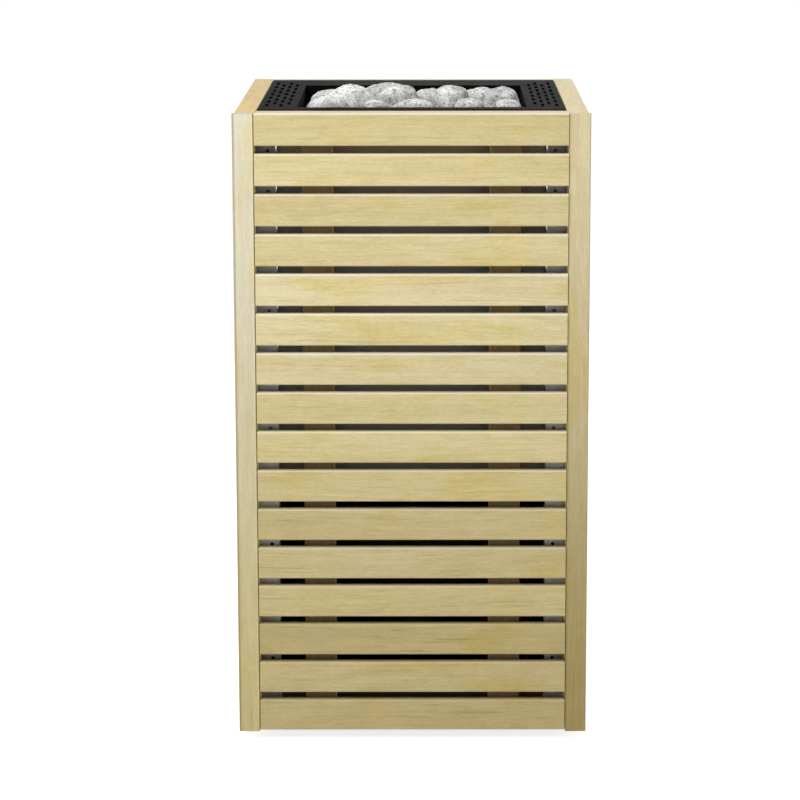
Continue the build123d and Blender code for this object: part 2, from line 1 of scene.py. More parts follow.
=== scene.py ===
# %% [markdown]
# # An electric sauna heater, dressed for a studio picture
# The heater is a tower of pale aspen slats round a steel stove. Air is drawn down two side ducts,
# heated between loose stones, and leaves through the open top. The frame file already holds every
# rigid part at its true size, so this lesson adds what makes them look real: wood with grain,
# galvanised and painted steel, and a heap of rough stones.

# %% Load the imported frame
import math

import bpy
from mathutils import Euler, Matrix, Vector


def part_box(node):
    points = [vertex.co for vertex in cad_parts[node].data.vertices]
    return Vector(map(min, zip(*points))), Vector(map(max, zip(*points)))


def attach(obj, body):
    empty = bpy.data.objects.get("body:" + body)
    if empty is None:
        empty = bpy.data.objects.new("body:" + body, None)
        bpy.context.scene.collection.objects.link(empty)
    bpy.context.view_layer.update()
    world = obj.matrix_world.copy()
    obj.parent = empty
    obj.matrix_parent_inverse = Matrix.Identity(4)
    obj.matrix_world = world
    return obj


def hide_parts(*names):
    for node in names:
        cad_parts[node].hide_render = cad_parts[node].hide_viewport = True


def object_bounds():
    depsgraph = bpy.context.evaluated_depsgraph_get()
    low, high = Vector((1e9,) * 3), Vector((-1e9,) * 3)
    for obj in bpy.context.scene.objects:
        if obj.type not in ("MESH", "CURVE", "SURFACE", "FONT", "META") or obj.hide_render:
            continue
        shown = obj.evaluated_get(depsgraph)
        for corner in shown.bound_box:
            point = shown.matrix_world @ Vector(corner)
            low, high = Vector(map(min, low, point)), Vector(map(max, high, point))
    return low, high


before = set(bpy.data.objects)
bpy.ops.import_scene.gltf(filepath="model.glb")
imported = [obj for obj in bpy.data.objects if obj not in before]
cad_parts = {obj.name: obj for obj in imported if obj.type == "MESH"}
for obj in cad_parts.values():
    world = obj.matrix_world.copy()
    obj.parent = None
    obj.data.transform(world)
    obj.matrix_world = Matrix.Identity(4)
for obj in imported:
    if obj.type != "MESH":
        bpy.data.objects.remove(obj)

bpy.ops.object.select_all(action="DESELECT")
CAD_LOW, CAD_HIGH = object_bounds()
print("heater, metres:", [round(v, 4) for v in CAD_HIGH - CAD_LOW])

# %% [markdown]
# ## Camera
# A product picture of a tall object is taken from far away with a long lens, so that its sides stay
# nearly parallel. The camera looks slightly down, which shows the stones and the slotted frame. The
# eye stands a little right of the heater's middle and looks straight at the slats, and the lens is
# shifted sideways to bring the heater back to the middle of the picture, so the slats stay level.

# %% Camera
EYE = Vector((0.0255, -4.1592, 1.2485))
PITCH_DOWN = math.radians(11.26)
LEAN = math.radians(-0.035)

camera_data = bpy.data.cameras.new("product_camera")
camera_data.sensor_width = 36.0
camera_data.lens = 134.93
camera_data.shift_x = -0.0388
camera_data.clip_end = 100.0
camera = bpy.data.objects.new("product_camera", camera_data)
bpy.context.scene.collection.objects.link(camera)
look = Euler((math.pi / 2 - PITCH_DOWN, 0.0, 0.0)).to_matrix().to_4x4()
camera.matrix_world = Matrix.Translation(EYE) @ look @ Matrix.Rotation(LEAN, 4, "Z")
bpy.context.scene.camera = camera
print("camera at", [round(v, 3) for v in EYE], "with a lens of", round(camera_data.lens), "mm")

# %% [markdown]
# ## Shader sums as plain Python
# A material is a graph of nodes. Written by hand, each sum in it takes three lines, and the idea is
# lost. `Value` wraps one output, so that `1 - mask * 0.5` adds the Math nodes itself. `Finish`
# holds the graph and has a single method, `node`, that adds any other node. Its other methods are
# short names for the nodes that come back in every finish of this heater.


# %% A sum that adds its own nodes
class Value:
    """One output of a node. Sums on it add Math nodes to the same material."""

    def __init__(self, finish, output):
        self.finish = finish
        self.output = output

    def math(self, operation, *terms):
        return self.finish.node("ShaderNodeMath", {"operation": operation}, list(terms))

    def __add__(self, other):
        return self.math("ADD", self, other)

    def __mul__(self, other):
        return self.math("MULTIPLY", self, other)

    def __sub__(self, other):
        return self.math("SUBTRACT", self, other)

    def __rsub__(self, other):
        return self.math("SUBTRACT", other, self)

    def __truediv__(self, other):
        return self.math("DIVIDE", self, other)

    __radd__ = __add__
    __rmul__ = __mul__

    def whole(self):
        return self.math("FLOOR", self)

    def size(self):
        return self.math("ABSOLUTE", self)

    def larger(self, other):
        return self.math("MAXIMUM", self, other)

    def between(self, low, high):
        """0 below low, 1 above high, and a smooth step from one to the other."""
        settings = {"interpolation_type": "SMOOTHSTEP"}
        return self.finish.node(
            "ShaderNodeMapRange", settings, {"Value": self, "From Min": low, "From Max": high}
        )


# %% A finish and its graph
class Finish:
    """The graph of nodes for one finish of the heater, or for the world round it."""

    def __init__(self, name, blocks=bpy.data.materials):
        """Start with an empty graph. blocks is where Blender keeps materials, or worlds."""
        self.block = blocks.new(name)
        self.block.use_nodes = True
        self.tree = self.block.node_tree
        self.tree.nodes.clear()

    def node(self, kind, settings=None, inputs=(), output=0):
        """Add a node: its settings first, then its sockets by name or by number."""
        made = self.tree.nodes.new(kind)
        for key, setting in (settings or {}).items():
            if key == "stops":
                ramp = made.color_ramp.elements
                while len(ramp) < len(setting):
                    ramp.new(0.5)
                for stop, (place, shade) in zip(ramp, setting):
                    stop.position = place
                    stop.color = (*shade, 1.0)
            else:
                setattr(made, key, setting)
        pairs = inputs.items() if isinstance(inputs, dict) else enumerate(inputs)
        for key, entry in pairs:
            socket = made.inputs[key]
            if isinstance(entry, Value):
                self.tree.links.new(entry.output, socket)
            elif isinstance(entry, tuple) and len(entry) == 3 and socket.type == "RGBA":
                socket.default_value = (*entry, 1.0)
            else:
                socket.default_value = entry
        return Value(self, made.outputs[output]) if made.outputs else None

    def place(self, stretch=(1.0, 1.0, 1.0)):
        """Object coordinates in metres, stretched along each axis."""
        where = self.node("ShaderNodeTexCoord", output="Object")
        return self.node("ShaderNodeMapping", {}, {"Vector": where, "Scale": stretch})

    def axis(self, number):
        """One coordinate of the point that is shaded, in metres."""
        where = self.node("ShaderNodeTexCoord", output="Object")
        return self.node("ShaderNodeSeparateXYZ", {}, [where], output=number)

    def facing(self, number):
        """How far the surface faces along one axis: 1 along it, 0 across it, -1 against it."""
        normal = self.node("ShaderNodeNewGeometry", output="Normal")
        return self.node("ShaderNodeSeparateXYZ", {}, [normal], output=number)

    def noise(self, where, scale, detail=2.0, roughness=0.5, output=0):
        """Cloudy noise: output 0 is a number and 1 three numbers in one, as a colour."""
        inputs = {"Vector": where, "Scale": scale, "Detail": detail, "Roughness": roughness}
        return self.node("ShaderNodeTexNoise", {}, inputs, output)

    def mix(self, amount, first, second, blend="MIX"):
        settings = {"data_type": "RGBA", "blend_type": blend}
        return self.node("ShaderNodeMix", settings, {0: amount, 6: first, 7: second}, output=2)

    def tint(self, amount, colour, tone):
        """Multiply a colour by a tone, as far as amount says, from 0 to 1."""
        return self.mix(amount, colour, tone, "MULTIPLY")

    def relief(self, height, depth, strength=1.0):
        """A Bump node: depth is how deep the relief goes, in metres."""
        return self.node(
            "ShaderNodeBump", {}, {"Strength": strength, "Distance": depth, "Height": height}
        )

    def surface(self, **sockets):
        """The Principled shader; a socket's name is written with _ for its spaces."""
        inputs = {name.replace("_", " "): entry for name, entry in sockets.items()}
        shader = self.node("ShaderNodeBsdfPrincipled", {}, inputs)
        self.node("ShaderNodeOutputMaterial", {}, [shader])
        return self.block


# %% Colours, and giving a finish to the frame's nodes
ACROSS, THROUGH, UP = 0, 1, 2  # the axes x, from side to side, y, from front to rear, and z
WHITE = (1.0, 1.0, 1.0)
HEATER_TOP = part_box("side_rail_left")[1].z


def linear(red, green, blue):
    """A colour named as it looks on a screen, 11 to 255, as the shader wants it."""
    return tuple(((level / 255 + 0.055) / 1.055) ** 2.4 for level in (red, green, blue))


def scaled(colour, amount):
    """A colour made lighter or darker."""
    return tuple(level * amount for level in colour)


def dress(material, *names):
    """Give the CAD nodes with these names, or whose names start with them, a material."""
    count = 0
    for name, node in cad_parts.items():
        if name.startswith(names):
            node.data.materials.clear()
            node.data.materials.append(material)
            count += 1
    print(material.name, "on", count, "nodes")


# %% [markdown]
# ## Aspen
# Aspen is pale, straight-grained and almost without knots, which is why benches and heaters in a
# sauna are clad with it. Its look has several scales: soft bands a few centimetres wide from the
# way the board was sawn, growth lines a few millimetres apart, a mottle between the two, and fibres
# a fraction of a millimetre thick that catch the light. Each is a noise stretched along the grain,
# and their sum says how deep the colour is. Two more noises, cut off below a threshold, give
# patches of honey and a few brown streaks. A slow wave bends all of them, since no grain runs dead
# straight.

# %% The grain of a board
SWAY = 0.010  # how far the grain wanders, in metres


def board_grain(finish, grain):
    """The depth of a board's colour, and its lines, fibres, patches and streaks."""
    waves = finish.noise(finish.place(), 5.0, 1.0, output=1)
    settings = {"operation": "MULTIPLY_ADD"}
    swayed = finish.node("ShaderNodeVectorMath", settings, [waves, (SWAY,) * 3, finish.place()])

    def stretched(along, across, detail, roughness=0.5):
        scale = tuple(along if number == grain else across for number in range(3))
        where = finish.node("ShaderNodeMapping", {}, {"Vector": swayed, "Scale": scale})
        return finish.noise(where, 1.0, detail, roughness)

    bands = stretched(1.8, 24.0, 2.0)
    lines = stretched(12.0, 300.0, 4.0, 0.65)
    fibres = stretched(130.0, 800.0, 3.0, 0.6)
    mottle = stretched(30.0, 80.0, 3.0)
    patches = stretched(9.0, 30.0, 2.0).between(0.50, 0.72)
    streaks = stretched(10.0, 260.0, 3.0).between(0.59, 0.76)
    depth = 0.07 + bands.between(0.3, 0.72) * 0.21 + lines.between(0.32, 0.68) * 0.25
    depth = depth + fibres.between(0.33, 0.67) * 0.26 + mottle.between(0.35, 0.7) * 0.14
    return depth, lines, fibres, patches, streaks


# %% [markdown]
# A heater's cladding isn't one even colour. Each row of slats comes from another plank, so a number
# drawn from the row picks its tone. Cut ends are darker, because the pores are open there. Painted
# light adds the rest: the upper arris of a slat is lightened as a painted highlight, wood near the
# floor is darker and yellower as painted shade, and the top faces of the side rails are toned as
# painted shade. The left lath has a painted shade along its outer edge and a painted highlight
# along its inner one, and the right lath a painted shade along its inner edge. Each of these is a
# mask and a tone, and the masks come from the height, the row and the way the surface faces, never
# from the camera.

# %% What changes from board to board
SLAT_PITCH = 0.053
DARK_SEED, PALE_SEED = 859.0, 4853.0  # they pick the rows from a darker and from a whiter plank
DARK_PLANK, PALE_PLANK = (0.62, 0.60, 0.57), (1.03, 1.08, 1.50)


def toned_by_row(finish, colour, amount):
    """Give each row of slats the tone of its own plank."""
    row = ((HEATER_TOP - finish.axis(UP)) / SLAT_PITCH).whole()
    settings = {"noise_dimensions": "1D"}
    for seed, tone in ((DARK_SEED, DARK_PLANK), (PALE_SEED, PALE_PLANK)):
        chance = finish.node("ShaderNodeTexWhiteNoise", settings, {"W": row + seed})
        colour = finish.tint(chance * amount, colour, tone)
    return colour


def toned_at_edges(finish, colour, edges):
    """Tone lines down the broad faces: each is its distance from the middle, width and tone."""
    broad = finish.facing(THROUGH).size().between(0.5, 0.9)
    for offset, width, tone in edges:
        beside = (finish.axis(ACROSS).size() - offset).size()
        colour = finish.tint((1.0 - beside.between(width * 0.4, width)) * broad, colour, tone)
    return colour


def with_end_grain(finish, colour, grain, deep):
    """Darken the cut ends of a board, where its pores open."""
    pores = finish.noise(finish.place(), 900.0, 2.0).between(0.35, 0.7)
    cut = finish.mix(pores, scaled(deep, 0.88), scaled(deep, 0.62))
    return finish.mix(finish.facing(grain).size().between(0.8, 0.95), colour, cut)


# %% Aspen, with its grain along a chosen axis
HONEY = (0.97, 0.92, 0.65)
TOP_EDGE_HIGHLIGHT = (0.90, 0.86, 0.72)


def aspen(
    name, grain, pale, deep, rows=0.0, foot=WHITE, reach=1.0, top_highlight=0.0, edges=(), top_shade=None
):
    """Wood between a pale and a deep colour, with its grain along one axis.

    rows is how much rows of slats differ, foot the painted shade towards the floor, and reach the
    share of the height that it takes. The argument after reach is how strong the painted highlight
    on upper edges is, and the last one is the painted shade on a top face.
    """
    finish = Finish(name)
    depth, lines, fibres, patches, streaks = board_grain(finish, grain)
    upward = finish.facing(UP)
    low = 1.0 - finish.axis(UP).between(0.0, HEATER_TOP * reach)
    colour = finish.mix(depth, pale, deep)
    colour = finish.mix(streaks * (0.26 + low * 0.20), colour, scaled(deep, 0.52))
    colour = finish.tint(patches * 0.75, colour, HONEY)
    # Painted highlight: upper edges that look up are lightened, less so towards the floor.
    painted_highlight = upward.between(0.1, 0.6) * (1.0 - low * 0.8) * top_highlight
    colour = finish.mix(painted_highlight, colour, TOP_EDGE_HIGHLIGHT)
    # Painted shade: darker and yellower towards the floor.
    colour = finish.tint(low, colour, foot)
    colour = toned_by_row(finish, colour, rows)
    # Painted shade on faces that look up.
    if top_shade:
        colour = finish.tint(upward.between(0.5, 0.9), colour, top_shade)
    # Lines along the edges of laths and battens: painted shade and painted highlight.
    colour = toned_at_edges(finish, colour, edges)
    return finish.surface(
        Base_Color=with_end_grain(finish, colour, grain, deep),
        Roughness=0.5 + lines * 0.16,
        Normal=finish.relief(lines * 0.6 + fibres * 0.4, 0.0003, 0.7),
    )


# %% [markdown]
# The slats, the rails over the sides and the cross rails were cut from different boards, so each
# has its own pair of colours. The two laths have a pair each too: the left one is paler as painted
# light and the right one deeper as painted shade. The battens behind the slats are a dark brown as
# painted shade, and a bright line along their edges next to the middle of the heater is a painted
# highlight.

# %% Dress the slats and stiles
SLAT = linear(238, 224, 174), linear(199, 180, 114)
# The tone at the foot is painted shade, and the paler upper edges are a painted highlight.
IN_ROWS = {"rows": 0.4, "foot": (0.73, 0.69, 0.57), "reach": 0.7, "top_highlight": 0.6}

dress(aspen("aspen_slats", ACROSS, *SLAT, **IN_ROWS), "front_slat", "rear_slats")
dress(aspen("aspen_side_slats", THROUGH, *SLAT, **IN_ROWS), "side_slats")
dress(aspen("aspen_stiles", UP, *SLAT), "corner_stiles")

# %% Dress the rails
CROSS_RAIL = linear(208, 190, 148), linear(178, 157, 108)
# Tones for the top faces of the side rails: painted shade.
LEFT_TOP_SHADE, RIGHT_TOP_SHADE = (0.79, 0.66, 0.44), (0.77, 0.705, 0.64)

dress(aspen("aspen_cross_rails", ACROSS, *CROSS_RAIL), "cross_rail")
dress(aspen("aspen_left_rail", THROUGH, *SLAT, top_shade=LEFT_TOP_SHADE), "side_rail_left")
dress(aspen("aspen_right_rail", THROUGH, *SLAT, top_shade=RIGHT_TOP_SHADE), "side_rail_right")

# %% Dress the laths
# The left lath is paler as painted light, and the right one deeper as painted shade.
PALE_LATH = linear(233, 228, 209), linear(205, 195, 166)
DEEP_LATH = linear(230, 219, 182), linear(200, 183, 132)
# Tones towards the foot of each lath: painted shade.
PALE_LATH_LOW_SHADE, DEEP_LATH_LOW_SHADE = (0.79, 0.70, 0.42), (0.53, 0.455, 0.27)
LATH_OUTSIDE, LATH_INSIDE = CAD_HIGH.x, -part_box("front_lath_left")[1].x
# Along the left lath's outer edge a painted shade and along its inner edge a painted highlight;
# along the right lath's inner edge a painted shade.
OUTER_EDGE_SHADE = (LATH_OUTSIDE, 0.0045, (0.60, 0.57, 0.50))
INNER_EDGE_HIGHLIGHT = (LATH_INSIDE, 0.0030, (1.22, 1.21, 1.16))
RIGHT_INNER_EDGE_SHADE = (LATH_INSIDE, 0.0030, (0.74, 0.72, 0.68))

left_lath = aspen("aspen_pale_lath", UP, *PALE_LATH, foot=PALE_LATH_LOW_SHADE, edges=(OUTER_EDGE_SHADE, INNER_EDGE_HIGHLIGHT))
dress(left_lath, "front_lath_left")
right_lath = aspen("aspen_deep_lath", UP, *DEEP_LATH, foot=DEEP_LATH_LOW_SHADE, edges=(RIGHT_INNER_EDGE_SHADE,))
dress(right_lath, "front_lath_right")

# %% Dress the battens
# The battens' dark brown is painted shade, darker still towards the floor, and a bright line along
# their inner edge is a painted highlight.
BATTEN_IN_SHADE = linear(120, 100, 60), linear(86, 68, 36)
BATTEN_LOW_SHADE = (0.75, 0.76, 0.74)
BATTEN_INSIDE = 0.1025  # from the middle of the heater, in metres
BATTEN_EDGE_HIGHLIGHT = (BATTEN_INSIDE, 0.0030, (1.75, 2.0, 2.6))

dress(aspen("pine_battens", UP, *BATTEN_IN_SHADE, foot=BATTEN_LOW_SHADE, edges=(BATTEN_EDGE_HIGHLIGHT,)), "slat_battens")

# %% [markdown]
# ## Galvanised sheet
# The uprights at the corners are galvanised. Zinc shows spangles, flat crystals that each reflect a
# little differently: Voronoi cells change its colour and roughness from cell to cell. A ramp over
# the height sets how bright it is, darker near the floor and near the top, as painted shade. A thin
# bright line along the free edge of the sheet is a painted highlight.

# %% Galvanised uprights
UPRIGHT_LEG = 0.027  # how wide an upright's leg is, in metres
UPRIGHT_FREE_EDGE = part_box("corner_uprights")[1].x - UPRIGHT_LEG
SPANGLE, UPRIGHT_EDGE_HIGHLIGHT = (1.20, 1.20, 1.18), (0.95, 0.94, 0.92)
# How bright the zinc is at each part of the height, from the floor to the top, as painted shade.
ZINC_SHADE_BY_HEIGHT = (
    (0.00, 0.28),
    (0.13, 0.50),
    (0.22, 0.84),
    (0.33, 0.84),
    (0.45, 0.70),
    (0.60, 0.49),
    (0.82, 0.34),
    (0.95, 0.17),
)


def galvanised(name):
    """Zinc with spangles, with painted shade over the height and a painted highlight along its free
    edge.
    """
    finish = Finish(name)
    cells = {"Vector": finish.place(), "Scale": 140.0}
    crystal = finish.node("ShaderNodeTexVoronoi", {}, cells, output="Color")
    tone = finish.node("ShaderNodeSeparateColor", {}, [crystal])
    smear = finish.noise(finish.place(), 35.0, 3.0)
    stops = [(place, (shade,) * 3) for place, shade in ZINC_SHADE_BY_HEIGHT]
    # Painted shade over the height.
    zinc = finish.node("ShaderNodeValToRGB", {"stops": stops}, [finish.axis(UP) / HEATER_TOP])
    colour = finish.tint(tone, zinc, SPANGLE)
    # A painted highlight along the free edge of each upright.
    beside = (finish.axis(ACROSS).size() - UPRIGHT_FREE_EDGE).size()
    painted_glint = 1.0 - beside.between(0.0010, 0.0025)
    return finish.surface(
        Base_Color=finish.mix(painted_glint * 0.9, colour, UPRIGHT_EDGE_HIGHLIGHT),
        Metallic=0.9,
        Roughness=(0.34 + tone * 0.14 + smear * 0.1) * (1.0 - painted_glint * 0.6),
    )


dress(galvanised("galvanised_sheet"), "corner_uprights")

# %% [markdown]
# ## Coated sheet
# The front of the inner casing is coated grey, and the sheets round the stones and the ducts are
# black, so near black that they also stand in for the shade inside the heater. Heat has dulled both
# unevenly, and a band of the casing under the top is tinted brown as a painted reflection of the
# wood. Scuffs, from fitting the sheets, are a second noise, wider than it is high, that lightens
# them.

# %% Casing, ducts and pit
CASING_GREY, CASING_STRAW = (0.42, 0.41, 0.40), (0.34, 0.315, 0.28)
# Near black for the sheets inside, partly painted shade of the chamber.
HEAT_BLACK_AND_SHADE, HEAT_BROWN_AND_SHADE = (0.018, 0.017, 0.016), (0.014, 0.012, 0.010)
# A brown band under the top: a painted reflection of the wood.
WOOD_REFLECTION_TINT = (0.60, 0.45, 0.25)
REFLECTION_STARTS, REFLECTION_FULL = HEATER_TOP - 0.14, HEATER_TOP - 0.05


def coated_sheet(name, pale, deep, wood_reflection=0.0):
    """Coated sheet; the last argument is how strong a painted reflection of the wood is just under
    the top.
    """
    finish = Finish(name)
    heat = finish.noise(finish.place((3.0, 3.0, 5.0)), 1.0, 3.0)
    scuffs = finish.noise(finish.place((40.0, 40.0, 160.0)), 1.0, 4.0).between(0.55, 0.8)
    under_top = finish.axis(UP).between(REFLECTION_STARTS, REFLECTION_FULL)
    colour = finish.mix(heat.between(0.3, 0.7), pale, deep)
    # Painted reflection of the wood in a band under the top.
    colour = finish.mix(under_top * wood_reflection, colour, WOOD_REFLECTION_TINT)
    return finish.surface(
        Base_Color=finish.mix(scuffs * 0.3, colour, scaled(pale, 1.5)),
        Metallic=0.35,
        Roughness=0.5 + heat * 0.15,
    )


dress(coated_sheet("casing_grey", CASING_GREY, CASING_STRAW, 0.6), "casing_front")
# Near black, which also stands in for the shade inside the heater.
heat_black_and_shade = coated_sheet("heat_black_and_shade", HEAT_BLACK_AND_SHADE, HEAT_BROWN_AND_SHADE)
dress(heat_black_and_shade, "casing_wrap", "duct_wall", "pit_wall", "stone_grate")
dress(heat_black_and_shade, "base_tray", "element_plate")

# %% [markdown]
# ## Powder coat
# The loose top frame has a black powder coat, matt and pebbled: a fine noise feeds a Bump node.
# Faces that look up are lighter, partly from a little stone dust and partly as a painted sheen. A
# coat as matt as this has hardly any shine left, so the specular level is low.

# %% Black frame
COAT_BLACK = (0.004, 0.004, 0.004)
# Faces that look up: stone dust and a painted sheen.
DUSTY_SHEEN_BLACK, STONE_DUST_AND_SHEEN = (0.0072, 0.0070, 0.0066), (0.018, 0.0175, 0.0168)


def powder_coat(name):
    """Matt black with a pebbled skin, and stone dust and a painted sheen on top."""
    finish = Finish(name)
    pebble = finish.noise(finish.place(), 1100.0, 2.0)
    dust = finish.noise(finish.place(), 45.0, 4.0).between(0.45, 0.8)
    dust_and_sheen = finish.mix(dust * 0.4, DUSTY_SHEEN_BLACK, STONE_DUST_AND_SHEEN)
    return finish.surface(
        Base_Color=finish.mix(finish.facing(UP).between(0.5, 0.9), COAT_BLACK, dust_and_sheen),
        Roughness=0.72 + dust * 0.12,
        Specular_IOR_Level=0.010,
        Normal=finish.relief(pebble, 0.0002, 0.5),
    )


dress(powder_coat("frame_black"), "frame_")

# %% [markdown]
# ## Small parts
# The fans, the terminal box and the gland are moulded in plastic, the terminal block is unglazed
# ceramic, and the feet and nuts are zinc plated. The sheath of a heating element turns brown and
# straw-coloured with heat, so its colour changes along the tube.


# %% Plastic and ceramic
def moulded(name, shade, rough):
    """A moulded or pressed part: one shade, with a faint haze and a fine grit."""
    finish = Finish(name)
    grit = finish.noise(finish.place(), 1400.0, 2.0)
    haze = finish.noise(finish.place(), 30.0, 3.0)
    return finish.surface(
        Base_Color=finish.mix(haze * 0.3, shade, scaled(shade, 1.3)),
        Roughness=rough + haze * 0.12,
        Normal=finish.relief(grit, 0.00015, 0.4),
    )


dress(moulded("fan_black", (0.022, 0.022, 0.023), 0.45), "fan_")
dress(moulded("terminal_black", (0.025, 0.025, 0.026), 0.5), "terminal_box", "terminal_cover")
dress(moulded("terminal_ceramic", (0.74, 0.70, 0.62), 0.7), "terminal_block")
dress(moulded("gland_black", (0.03, 0.03, 0.032), 0.5), "cable_gland")


# %% Zinc plate and heating elements
def zinc_plate(name):
    """Bright zinc under a thin yellowish film."""
    finish = Finish(name)
    film = finish.noise(finish.place(), 90.0, 3.0)
    return finish.surface(
        Base_Color=finish.mix(film, (0.55, 0.56, 0.57), (0.68, 0.66, 0.58)),
        Metallic=1.0,
        Roughness=0.28 + film * 0.15,
    )


def element_sheath(name):
    """Steel that heat has turned brown, straw and blue-grey along its length."""
    finish = Finish(name)
    heat = finish.noise(finish.place((6.0, 6.0, 9.0)), 1.0, 3.0)
    stops = [(0.3, (0.20, 0.16, 0.12)), (0.55, (0.30, 0.25, 0.18)), (0.75, (0.22, 0.23, 0.25))]
    return finish.surface(
        Base_Color=finish.node("ShaderNodeValToRGB", {"stops": stops}, [heat]),
        Metallic=0.9,
        Roughness=0.42,
    )


dress(zinc_plate("zinc"), "foot")
dress(element_sheath("element_steel"), "heating_element")

# %% [markdown]
# ## Sauna rock
# Sauna stones are olivine rock, pale and finely grained, with dark crystals, small pits and cloudy
# grey areas. Four noises of different size give these. The undersides of the stones and those deep
# in the heap are darker as painted shade: one tone follows the way the surface faces, and another
# its height next to the top of the wood.

# %% Sauna rock
GRAIN_GREY, GRAIN_PALE = (0.46, 0.46, 0.45), (0.97, 0.97, 0.95)
CLOUD_GREY, CRYSTAL = (0.27, 0.27, 0.265), (0.07, 0.07, 0.07)
# Painted shade for undersides and for stones deep in the heap.
UNDERSIDE_SHADE, DEEP_HEAP_SHADE = (0.42, 0.42, 0.41), (0.40, 0.39, 0.37)
DEEP_SHADE_BELOW, LIT_ABOVE = HEATER_TOP - 0.006, HEATER_TOP + 0.016


def sauna_rock(name):
    """Speckled grey rock, with painted shade below and deep in the heap."""
    finish = Finish(name)
    where = finish.place()
    grains = finish.noise(where, 520.0, 3.0, 0.65)
    clouds = finish.noise(where, 34.0, 3.0).between(0.47, 0.68)
    crystals = finish.noise(where, 260.0, 3.0, 0.6).between(0.56, 0.66)
    pits = finish.noise(where, 120.0, 4.0, 0.65).between(0.58, 0.68)
    shaded = 1.0 - finish.facing(UP).between(-0.1, 0.8)
    # Painted shade on stones deep in the heap.
    deep_shade = 1.0 - finish.axis(UP).between(DEEP_SHADE_BELOW, LIT_ABOVE)
    colour = finish.mix(grains.between(0.34, 0.56), GRAIN_GREY, GRAIN_PALE)
    colour = finish.mix(clouds * 0.55, colour, CLOUD_GREY)
    colour = finish.mix(crystals * 0.80, colour, CRYSTAL)
    colour = finish.mix(pits * 0.50, colour, CRYSTAL)
    # Painted shade on faces that look down or sideways.
    colour = finish.tint(shaded * 0.55, colour, UNDERSIDE_SHADE)
    return finish.surface(
        Base_Color=finish.tint(deep_shade * 0.50, colour, DEEP_HEAP_SHADE),
        Roughness=0.82 + grains * 0.15,
        Normal=finish.relief(grains * 0.5 - pits * 0.6 - crystals * 0.3, 0.0015, 0.9),
    )


ROCK = sauna_rock("sauna_rock")
print(ROCK.name, "has", len(ROCK.node_tree.nodes), "nodes")

# %% [markdown]
# ## Stones
# The stones of a heater are rough lumps, 5 to 10 cm across. The frame holds each as a faceted lump
# of the right size and place. A voxel remesh gives a copy of each lump an even skin, a Smooth
# modifier rounds the facets as tumbling does, and two Displace modifiers with cloud textures add
# broad hollows and a coarse surface. Each lump is worked on its own, because a remesh would melt
# touching stones into one.


# %% Helpers for shaping stones
def cloud_texture(name, size):
    clouds = bpy.data.textures.new(name, "CLOUDS")
    clouds.noise_scale = size
    clouds.noise_depth = 2
    return clouds


HOLLOWS = cloud_texture("stone_hollows", 0.030)
COARSE = cloud_texture("stone_coarse", 0.007)
COARSE_RELIEF = 0.0014  # how strongly the coarse texture moves the surface, in metres


def displace(stone, label, texture, strength):
    """Add a Displace modifier that moves the surface in and out with a texture."""
    relief = stone.modifiers.new(label, "DISPLACE")
    relief.texture = texture
    relief.strength = strength
    relief.texture_coords = "LOCAL"
    return relief


def apply_modifiers(stone):
    """Make what the modifiers give the mesh itself. The stone has to be the active object."""
    for modifier in list(stone.modifiers):
        bpy.ops.object.modifier_apply(modifier=modifier.name)


def one_piece(name, stones):
    """Join loose stones under one name, and give them the rock."""
    for stone in stones:
        stone.select_set(True)
    bpy.context.view_layer.objects.active = stones[0]
    bpy.ops.object.join()
    piece = bpy.context.view_layer.objects.active
    piece.name = name
    bpy.ops.object.shade_smooth()
    bpy.ops.object.select_all(action="DESELECT")
    piece.data.materials.clear()
    piece.data.materials.append(ROCK)
    print(name, len(stones), "stones,", len(piece.data.polygons), "faces")
    return piece


# %% Turn a node's lumps into stones
def lumps_of(node):
    """Loose copies of a node's lumps, in order from left to right."""
    source = bpy.data.objects.new(node + "_copy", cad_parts[node].data.copy())
    bpy.context.scene.collection.objects.link(source)
    source.select_set(True)
    bpy.context.view_layer.objects.active = source
    bpy.ops.object.mode_set(mode="EDIT")
    bpy.ops.mesh.select_all(action="SELECT")
    bpy.ops.mesh.remove_doubles(threshold=1e-6)
    bpy.ops.mesh.separate(type="LOOSE")
    bpy.ops.object.mode_set(mode="OBJECT")
    lumps = list(bpy.context.selected_objects)
    bpy.ops.object.select_all(action="DESELECT")
    return sorted(lumps, key=lambda lump: tuple(round(v, 4) for v in lump.data.vertices[0].co))


def tumble(lump, voxel, rounds, hollow, coarse):
    """Turn one faceted lump into a stone by modifiers, and apply them."""
    bpy.context.view_layer.objects.active = lump
    skin = lump.modifiers.new("skin", "REMESH")
    skin.mode = "VOXEL"
    skin.voxel_size = voxel
    smooth = lump.modifiers.new("tumbled", "SMOOTH")
    smooth.iterations = rounds
    for label, texture, strength in (("hollows", HOLLOWS, hollow), ("coarse", COARSE, coarse)):
        relief = displace(lump, label, texture, strength)
        relief.mid_level = 0.2  # low, so that the relief gives back what smoothing took away
    apply_modifiers(lump)


def heap(name, node, voxel, rounds, hollow, coarse):
    """All the stones of one node as one piece that stands for it."""
    lumps = lumps_of(node)
    for lump in lumps:
        tumble(lump, voxel, rounds, hollow, coarse)
    piece = one_piece(name, lumps)
    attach(piece, "heater")
    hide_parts(node)


heap("crown_stones", "stone_crown", voxel=0.0026, rounds=18, hollow=0.0075, coarse=COARSE_RELIEF)
heap("fill_stones", "stone_fill", voxel=0.0055, rounds=4, hollow=0.006, coarse=0.002)

# %% [markdown]
# The large stones leave gaps, and whoever stacks a heater closes them with smaller ones, so that
# the air has to find its way between hot faces. These are made one by one: a coarse ball is
# squeezed to size, its corners are shaken about in edit mode, a Subdivision Surface rounds what is
# left, and the same cloud texture roughens it. They lie lower than their neighbours.

